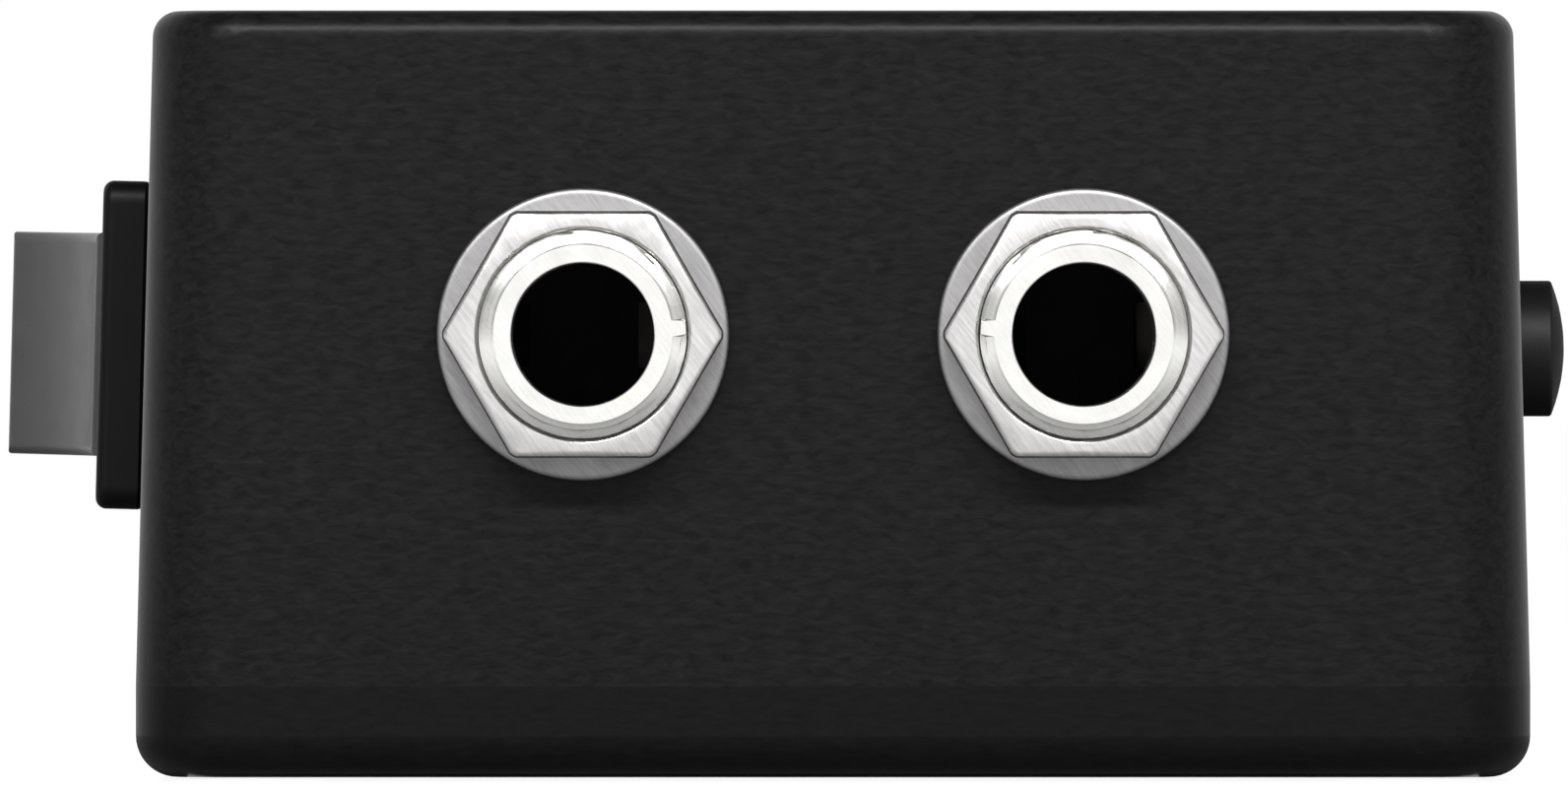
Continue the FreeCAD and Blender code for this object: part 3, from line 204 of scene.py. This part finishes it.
# by the record's slots: colour, roughness, and then what each kind of material takes
SLOTS = {
    "black_case": coated("case_coating", (0.0056, 0.0056, 0.0058), 0.35, 1.0),
    # painted shade: the lid's coating is a darker copy of the case's, so the band of lid below the case looks
    # shaded; its finer grain is its own
    "black_lid": coated("lid_coating_shaded", (0.0038, 0.0038, 0.0040), 0.35, 0.5),
    "bright_nickel": plated("nickel_plate", (0.68, 0.67, 0.66), 0.31),
    "polished_nickel": plated("polished_nickel", (0.86, 0.855, 0.83), 0.25, 0.3),
    "zinc_steel": metal("zinc_steel", (0.62, 0.63, 0.64), 0.3, (2400.0, 300.0, 2400.0)),
    "spring_steel": metal("spring_steel", (0.45, 0.46, 0.48), 0.32),
    "contact_metal": metal("contact_brass", (0.72, 0.52, 0.24), 0.3),
    "silver_contact": metal("silvered_contact", (0.16, 0.155, 0.145), 0.4),
    "black_nylon": moulded("black_nylon", (0.0032, 0.0032, 0.0034), 0.46, Specular_IOR_Level=0.12),
    "black_gloss": moulded("black_gloss", (0.043, 0.043, 0.0435), 0.30, 1.2e-6, Specular_IOR_Level=0.30),
    "black_rubbery": moulded("black_vinyl", (0.016, 0.016, 0.016), 0.6, 6e-6, 900.0),
    "knob_black": moulded(
        "knob_black", (0.014, 0.014, 0.0145), 0.50, 4e-6, 2200.0, Specular_IOR_Level=0.22
    ),
    "white_paint": moulded("white_ink", (0.80, 0.79, 0.76), 0.5, 4e-6),
    "green_board": moulded("board_green", (0.012, 0.095, 0.04), 0.32, 8e-6, 500.0),
    "brown_board": moulded("board_brown", (0.26, 0.15, 0.06), 0.6, 8e-6, 700.0),
    "chip_epoxy": moulded("chip_epoxy", (0.018, 0.018, 0.019), 0.62, 7e-6, 2600.0),
    "can_sleeve": moulded("can_sleeve", (0.012, 0.018, 0.075), 0.28, 2e-6, 300.0),
    "film_box": moulded("film_red", (0.30, 0.018, 0.014), 0.4, 4e-6),
    "resistor_body": moulded("resistor_blue", (0.12, 0.26, 0.38), 0.38, 8e-6, 900.0),
    "tinned_wire": metal("tinned_wire", (0.72, 0.72, 0.70), 0.28),
    "red_lamp": lamp_plastic(),
    "battery_can": moulded("battery_jacket", (0.03, 0.032, 0.045), 0.35, 3e-6, 200.0),
    "red_wire": moulded("wire_red", (0.36, 0.012, 0.01), 0.45, 5e-6, 700.0),
    "black_wire": moulded("wire_black", (0.014, 0.014, 0.014), 0.48, 5e-6, 700.0),
}

node_slot = {part["node"]: part["material_slot"] for part in frame["record"]["subparts"]}
DIM_RIM = (0.3, 0.3, 0.3, 1.0)  # keeps the button's dome from shining at its rim
button_plastic = moulded(
    "button_plastic", (0.024, 0.024, 0.0243), 0.50, 1.5e-6, metallic=0.78, Specular_Tint=DIM_RIM
)
washer_plate = plated("washer_plate", (0.305, 0.30, 0.305), 0.50, 0.9)
for name, node in frame["nodes"].items():
    node.data.materials.clear()
    node.data.materials.append(button_plastic if name == "mono_button_cap" else SLOTS[node_slot[name]])


# ---- geometry helpers ------------------------------------------------------------------------------
def piece(name, points, faces, slot, body, stands_for, smooth_below=35.0, material=None):
    """A mesh piece from points in millimetres, smooth over edges below an angle in degrees."""
    mesh = bpy.data.meshes.new(name)
    mesh.from_pydata([Vector(p) * MM for p in points], [], faces)
    mesh.update()
    made = bpy.data.objects.new(name, mesh)
    bpy.context.scene.collection.objects.link(made)
    mesh.materials.append(material or SLOTS[slot])
    mesh.shade_smooth()
    mesh.set_sharp_from_angle(angle=math.radians(smooth_below))
    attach(made, body)
    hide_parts(stands_for)
    return made


def turned(x, rings, steps):
    """Points and faces of a closed tube about a jack's axis, through rings of (radius, depth).

    Each is a number or a function of the angle. Depth is counted from the end wall's outer face into the box.
    """
    points, faces = [], []
    for radius, depth in rings:
        for i in range(steps):
            turn = 2 * math.pi * i / steps
            r = radius(turn) if callable(radius) else radius
            s = depth(turn) if callable(depth) else depth
            points.append((x + r * math.cos(turn), FRONT + s, AXIS_Z + r * math.sin(turn)))
    count = len(rings)
    for k in range(count):
        for i in range(steps):
            j = (i + 1) % steps
            here, there = k * steps, (k + 1) % count * steps
            faces.append((here + i, here + j, there + j, there + i))
    return points, faces


# ---- the jacks' metalwork --------------------------------------------------------------------------
NOSE = -3.7  # depth of the bush's outer end
BUSH_END = 7.0  # depth of its inner end
THREAD_R = 4.76
THREAD_PITCH = 0.75
THREAD_DEPTH = 0.36
THREAD_CHAMFER = 2.1  # rise of the end's cone over its length
RING_R = 4.13  # outer edge of the bright end ring
RING_ROUND = 0.03
RUNOUT = math.radians(9)  # the angle over which the thread's blunt end stands beside the ring
THREAD_STEPS = 240
THREAD_SLICE = 0.05
SHOULDER = (2.2, 3.2)  # depths of the collar that bears on the wall's inner face
SHOULDER_R = 5.6
NECK_R = THREAD_R - 0.3
WASHER_BORE_R = 4.96
WASHER_R = 6.70
WASHER_T = 0.80
NUT_BORE_R = 4.81
NUT_FLAT_R = 5.65
NUT_LIMIT_R = 6.44  # where the hexagon's corners are trimmed
NUT_FACE = -3.0  # depth of its outer face
NUT_CROWN_R = 5.26  # outer edge of the flat ring on that face
NUT_SLOPE = math.tan(math.radians(13))
NUT_ROUND = 0.34
NUT_STEPS = 240
WASHER_STEPS = 144


def at_thread_end(turn, side):
    """True over the few degrees where the thread begins, just above the axis on each jack's inner side."""
    angle = turn if side < 0 else math.pi - turn
    return 0.0 <= angle % (2 * math.pi) < RUNOUT


def thread_radius(depth, side):
    """Radius over the angle at a depth on the threaded nose, whose end is chamfered."""
    from_end = depth - NOSE
    cone = RING_R - RING_ROUND + from_end * THREAD_CHAMFER

    def radius(turn):
        angle = turn if side < 0 else math.pi - turn
        phase = (from_end / THREAD_PITCH - angle / (2 * math.pi)) % 1.0
        rise = max(0.0, min(1.0, (abs(phase - 0.5) - 0.10) / 0.25))  # 0 in the groove, 1 on the crest
        if at_thread_end(turn, side) and from_end < THREAD_PITCH / 2:
            return THREAD_R
        return min(cone, THREAD_R - THREAD_DEPTH * (1.0 - rise))

    return radius


def jack_bush(name, side):
    """The threaded bush, with a rounded lip, a flat bright ring, and the thread's blunt start beside it."""

    def ring_or_start(ring_r, start_r):
        return lambda turn: start_r if at_thread_end(turn, side) else ring_r

    rings = [(BORE_R, BUSH_END), (BORE_R, 3.0), (BORE_R, NOSE + 0.10), (BORE_R + 0.02, NOSE + 0.03)]
    rings += [(BORE_R + 0.06, NOSE), (BORE_R + 0.10, NOSE), (3.7, NOSE)]
    rings.append((RING_R - 0.06, NOSE))
    rings.append((ring_or_start(RING_R - RING_ROUND, THREAD_R - 0.10), NOSE + 0.004))
    rings.append((ring_or_start(RING_R, THREAD_R - 0.03), NOSE + 0.03))
    depth = NOSE + 0.08
    while depth < 0.0:
        rings.append((thread_radius(depth, side), depth))
        depth += THREAD_SLICE
    rings += [(THREAD_R, 0.0), (THREAD_R, SHOULDER[0]), (SHOULDER_R, SHOULDER[0])]
    rings += [(SHOULDER_R, SHOULDER[1]), (NECK_R, SHOULDER[1]), (NECK_R, BUSH_END)]
    mesh = turned(side * JACK_X, rings[::-1], THREAD_STEPS)
    piece(name, *mesh, "polished_nickel", "enclosure", name + "_bush", smooth_below=28.0)


def jack_washer(name, side):
    """A flat washer, whose outer edge is rolled over where it was punched."""
    rings = [(WASHER_BORE_R, 0.0), (WASHER_BORE_R, -WASHER_T + 0.06), (WASHER_BORE_R + 0.05, -WASHER_T)]
    rings += [(WASHER_BORE_R + 0.14, -WASHER_T), (WASHER_R - 0.30, -WASHER_T)]
    for inward, down in ((0.20, 0.005), (0.12, 0.03), (0.06, 0.07), (0.02, 0.13), (0.0, 0.20)):
        rings.append((WASHER_R - inward, -WASHER_T + down))
    rings += [(WASHER_R, -0.10), (WASHER_R - 0.06, 0.0)]
    points, faces = turned(side * JACK_X, rings[::-1], WASHER_STEPS)
    made = name + "_washer_ring"
    piece(made, points, faces, "bright_nickel", "enclosure", name + "_washer", material=washer_plate)


def hex_radius(turn):
    """Radius of the hexagon, with flats above and below and its corners trimmed round."""
    from_corner = abs((turn + math.radians(30)) % math.radians(60) - math.radians(30))
    from_flat = math.radians(30) - from_corner
    return min(NUT_LIMIT_R, NUT_FLAT_R / math.cos(from_flat))


def jack_nut(name, side):
    """A hexagonal nut, whose outer face slopes back towards its corners and rounds over into its flats."""

    def inset(amount):
        return lambda turn: hex_radius(turn) - amount

    def below_brow(amount):
        return lambda turn: NUT_FACE + (hex_radius(turn) - NUT_FLAT_R) * NUT_SLOPE + amount

    rings = [(NUT_BORE_R, -WASHER_T), (NUT_BORE_R, NUT_FACE + 0.14)]
    for outward, down in ((0.03, 0.09), (0.09, 0.035), (0.14, 0.005), (0.19, 0.0), (0.25, 0.0)):
        rings.append((NUT_BORE_R + outward, NUT_FACE + down))
    rings.append((NUT_CROWN_R - 0.03, NUT_FACE))
    for step in range(8):
        bend = math.radians(90) * step / 7
        rings.append((inset(NUT_ROUND * (1 - math.sin(bend))), below_brow(NUT_ROUND * (1 - math.cos(bend)))))
    rings += [(hex_radius, -1.0), (inset(0.03), -0.86), (inset(0.16), -WASHER_T)]
    mesh = turned(side * JACK_X, rings[::-1], NUT_STEPS)
    piece(name + "_hex_nut", *mesh, "bright_nickel", "enclosure", name + "_nut")


for name, side in (("input_jack", -1), ("phones_jack", 1)):
    jack_bush(name, side)
    jack_washer(name, side)
    jack_nut(name, side)


# ---- the push button's return spring ---------------------------------------------------------------
SPRING_WIRE_R = 0.22
SPRING_TURNS = 3
SPRING_STEPS = 56  # along each turn
SPRING_SIDES = 12


def button_spring():
    """The coil between the switch's case and the cap, which closes up as the button goes in."""
    low, high = (Vector(corner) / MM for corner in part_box("mono_button_spring"))
    middle = (low + high) / 2
    coil_r = (high.y - low.y) / 2 - SPRING_WIRE_R
    first, last = low.x + SPRING_WIRE_R, high.x - SPRING_WIRE_R
    count = SPRING_TURNS * SPRING_STEPS
    rise = (last - first) / (2 * math.pi * SPRING_TURNS)
    points, faces = [], []
    for i in range(count + 1):
        turn = 2 * math.pi * i / SPRING_STEPS
        outward = Vector((0.0, math.cos(turn), math.sin(turn)))
        centre = Vector((first + rise * turn, middle.y, middle.z)) + outward * coil_r
        along = Vector((rise, -coil_r * math.sin(turn), coil_r * math.cos(turn))).normalized()
        across = along.cross(outward)
        for k in range(SPRING_SIDES):
            around = 2 * math.pi * k / SPRING_SIDES
            spoke = outward * math.cos(around) + across * math.sin(around)
            points.append(centre + spoke * SPRING_WIRE_R)
    for i in range(count):
        here, there = i * SPRING_SIDES, (i + 1) * SPRING_SIDES
        for k in range(SPRING_SIDES):
            j = (k + 1) % SPRING_SIDES
            faces.append((here + k, here + j, there + j, there + k))
    faces.append(tuple(range(SPRING_SIDES))[::-1])
    faces.append(tuple(count * SPRING_SIDES + k for k in range(SPRING_SIDES)))
    made = piece("button_return_spring", points, faces, "spring_steel", "enclosure", "mono_button_spring")
    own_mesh(made)


button_spring()


# ---- stage -----------------------------------------------------------------------------------------
FLOOR_HALF = 40.0
FLOOR_DROP = -0.0002
FLOOR_GREY = (0.26, 0.26, 0.26, 1.0)
FLOOR_TO_CAMERA = 0.92  # glow that the camera sees
# painted light and shade on the floor: the glow that only the object sees is nil near it, as a painted
# contact shadow, and brighter beyond
POOL_INNER, POOL_OUTER = 0.052, 0.15  # the glow that the object sees rises between these distances
POOL_GLOW = 0.75
UNDERSIDE_HALVES = (("X", 0.0297), ("Y", 0.0467))  # a little inside the lid's flat underside
UNDERSIDE_GLOW = 1.3
SKY_TO_CAMERA = 1.02
# brightness over direction, from 0 at -Y to 1 at +Y, and from 0 straight down to 1 straight up
FRONT_TO_BACK = [(0.0, 1.0), (0.07, 0.95), (0.15, 0.6), (0.25, 0.36), (0.55, 0.38), (0.71, 1.0)]
DOWN_TO_UP = [(0.30, 0.30), (0.50, 1.0), (0.70, 1.0), (0.90, 0.10)]


def lit_underneath(tree, spot, glow):
    """Adds a glow over the object's footprint, so that its underside isn't black when seen from below."""
    parts = tree.nodes.new("ShaderNodeSeparateXYZ")
    tree.links.new(spot.outputs["Object"], parts.inputs[0])
    inside = []
    for axis, half in UNDERSIDE_HALVES:
        near = tree.nodes.new("ShaderNodeMath")
        near.operation = "COMPARE"
        near.inputs[1].default_value = 0.0
        near.inputs[2].default_value = half
        tree.links.new(parts.outputs[axis], near.inputs[0])
        inside.append(near)
    both = tree.nodes.new("ShaderNodeMath")
    both.operation = "MULTIPLY"
    tree.links.new(inside[0].outputs[0], both.inputs[0])
    tree.links.new(inside[1].outputs[0], both.inputs[1])
    total = tree.nodes.new("ShaderNodeMath")
    total.operation = "MULTIPLY_ADD"
    total.inputs[1].default_value = UNDERSIDE_GLOW
    tree.links.new(both.outputs[0], total.inputs[0])
    tree.links.new(glow, total.inputs[2])
    return total.outputs[0]


def floor():
    """A large pale floor just under the object. It shows from above only, and looks bright to the camera."""
    mesh = bpy.data.meshes.new("floor")
    corners = [(x * FLOOR_HALF, y * FLOOR_HALF, FLOOR_DROP) for x, y in ((-1, -1), (1, -1), (1, 1), (-1, 1))]
    mesh.from_pydata(corners, [], [(0, 1, 2, 3)])
    made = bpy.data.objects.new("floor", mesh)
    bpy.context.scene.collection.objects.link(made)
    material = bpy.data.materials.new("floor")
    material.use_nodes = True
    tree = material.node_tree
    tree.nodes.clear()
    add = tree.nodes.new
    diffuse = add("ShaderNodeBsdfDiffuse")
    diffuse.inputs["Color"].default_value = FLOOR_GREY
    spot = add("ShaderNodeTexCoord")
    away = add("ShaderNodeVectorMath")
    away.operation = "LENGTH"
    tree.links.new(spot.outputs["Object"], away.inputs[0])
    # painted contact shadow: the floor's glow is nil near the object and rises with distance from it
    painted_pool = add("ShaderNodeMapRange")
    painted_pool.inputs["From Min"].default_value = POOL_INNER
    painted_pool.inputs["From Max"].default_value = POOL_OUTER
    painted_pool.inputs["To Min"].default_value = 0.0
    painted_pool.inputs["To Max"].default_value = POOL_GLOW
    tree.links.new(away.outputs["Value"], painted_pool.inputs["Value"])
    path = add("ShaderNodeLightPath")
    amount = add("ShaderNodeMix")
    tree.links.new(path.outputs["Is Camera Ray"], amount.inputs[0])
    tree.links.new(lit_underneath(tree, spot, painted_pool.outputs["Result"]), amount.inputs[2])
    amount.inputs[3].default_value = FLOOR_TO_CAMERA
    glow = add("ShaderNodeEmission")
    tree.links.new(amount.outputs[0], glow.inputs["Strength"])
    both = add("ShaderNodeAddShader")
    tree.links.new(diffuse.outputs[0], both.inputs[0])
    tree.links.new(glow.outputs[0], both.inputs[1])
    clear = add("ShaderNodeBsdfTransparent")
    side = add("ShaderNodeNewGeometry")
    mix = add("ShaderNodeMixShader")
    tree.links.new(side.outputs["Backfacing"], mix.inputs[0])
    tree.links.new(both.outputs[0], mix.inputs[1])
    tree.links.new(clear.outputs[0], mix.inputs[2])
    output = add("ShaderNodeOutputMaterial")
    tree.links.new(mix.outputs[0], output.inputs["Surface"])
    mesh.materials.append(material)


def studio():
    """Bright behind the object and straight ahead of it, greyer between, and dim overhead and underfoot.

    The camera sees it as plain white.
    """
    world = bpy.data.worlds.new("studio")
    bpy.context.scene.world = world
    world.use_nodes = True
    tree = world.node_tree
    tree.nodes.clear()
    add = tree.nodes.new
    link = tree.links.new

    def ramp(value, stops):
        made = add("ShaderNodeValToRGB")
        made.color_ramp.interpolation = "EASE"
        elements = made.color_ramp.elements
        while len(elements) < len(stops):
            elements.new(0.5)
        for element, (position, level) in zip(elements, stops):
            element.position = position
            element.color = (level, level, level, 1.0)
        link(value, made.inputs["Fac"])
        return made.outputs["Color"]

    coord = add("ShaderNodeTexCoord")
    parts = add("ShaderNodeSeparateXYZ")
    link(coord.outputs["Generated"], parts.inputs[0])

    def half_up(value):
        made = add("ShaderNodeMath")
        made.operation = "MULTIPLY_ADD"
        made.inputs[1].default_value = 0.5
        made.inputs[2].default_value = 0.5
        link(value, made.inputs[0])
        return made.outputs[0]

    depthwise = ramp(half_up(parts.outputs["Y"]), FRONT_TO_BACK)
    upward = ramp(half_up(parts.outputs["Z"]), DOWN_TO_UP)
    product = add("ShaderNodeMix")
    product.data_type = "RGBA"
    product.blend_type = "MULTIPLY"
    product.inputs["Factor"].default_value = 1.0
    link(depthwise, product.inputs["A"])
    link(upward, product.inputs["B"])
    light = add("ShaderNodeBackground")
    link(product.outputs["Result"], light.inputs["Color"])
    light.inputs["Strength"].default_value = 1.0
    backdrop = add("ShaderNodeBackground")
    backdrop.inputs["Color"].default_value = (1.0, 1.0, 1.0, 1.0)
    backdrop.inputs["Strength"].default_value = SKY_TO_CAMERA
    path = add("ShaderNodeLightPath")
    mix = add("ShaderNodeMixShader")
    link(path.outputs["Is Camera Ray"], mix.inputs[0])
    link(light.outputs[0], mix.inputs[1])
    link(backdrop.outputs[0], mix.inputs[2])
    output = add("ShaderNodeOutputWorld")
    link(mix.outputs[0], output.inputs["Surface"])


def area_light(name, place, target, size, watts):
    """A rectangular light at a place, aimed at a target and hidden from the camera."""
    data = bpy.data.lights.new(name, "AREA")
    data.shape = "RECTANGLE"
    data.size, data.size_y = size
    data.energy = watts
    made = bpy.data.objects.new(name, data)
    bpy.context.scene.collection.objects.link(made)
    made.location = place
    made.rotation_euler = (Vector(target) - Vector(place)).to_track_quat("-Z", "Y").to_euler()
    made.visible_camera = False


CAMERA_X, CAMERA_Z = -2.255, 17.6
FOCUS_Y = -45.0  # where the frame's width is measured
FRAME_WIDTH = 72.07


def camera():
    """Square on to the jack end from far off, as a long lens sees it."""
    data = bpy.data.cameras.new("camera")
    data.sensor_width = 36.0
    data.lens = 800.0
    data.clip_end = 20.0
    made = bpy.data.objects.new("camera", data)
    bpy.context.scene.collection.objects.link(made)
    distance = FRAME_WIDTH / data.sensor_width * data.lens
    made.location = (CAMERA_X * MM, (FOCUS_Y - distance) * MM, CAMERA_Z * MM)
    made.rotation_euler = (math.radians(90), 0.0, 0.0)
    bpy.context.scene.camera = made


floor()
studio()
area_light("key", (0.0, -0.64, 0.50), (0.0, 0.0, 0.02), (0.9, 0.06), 11.0)
camera()
bpy.context.scene.view_settings.view_transform = "Standard"
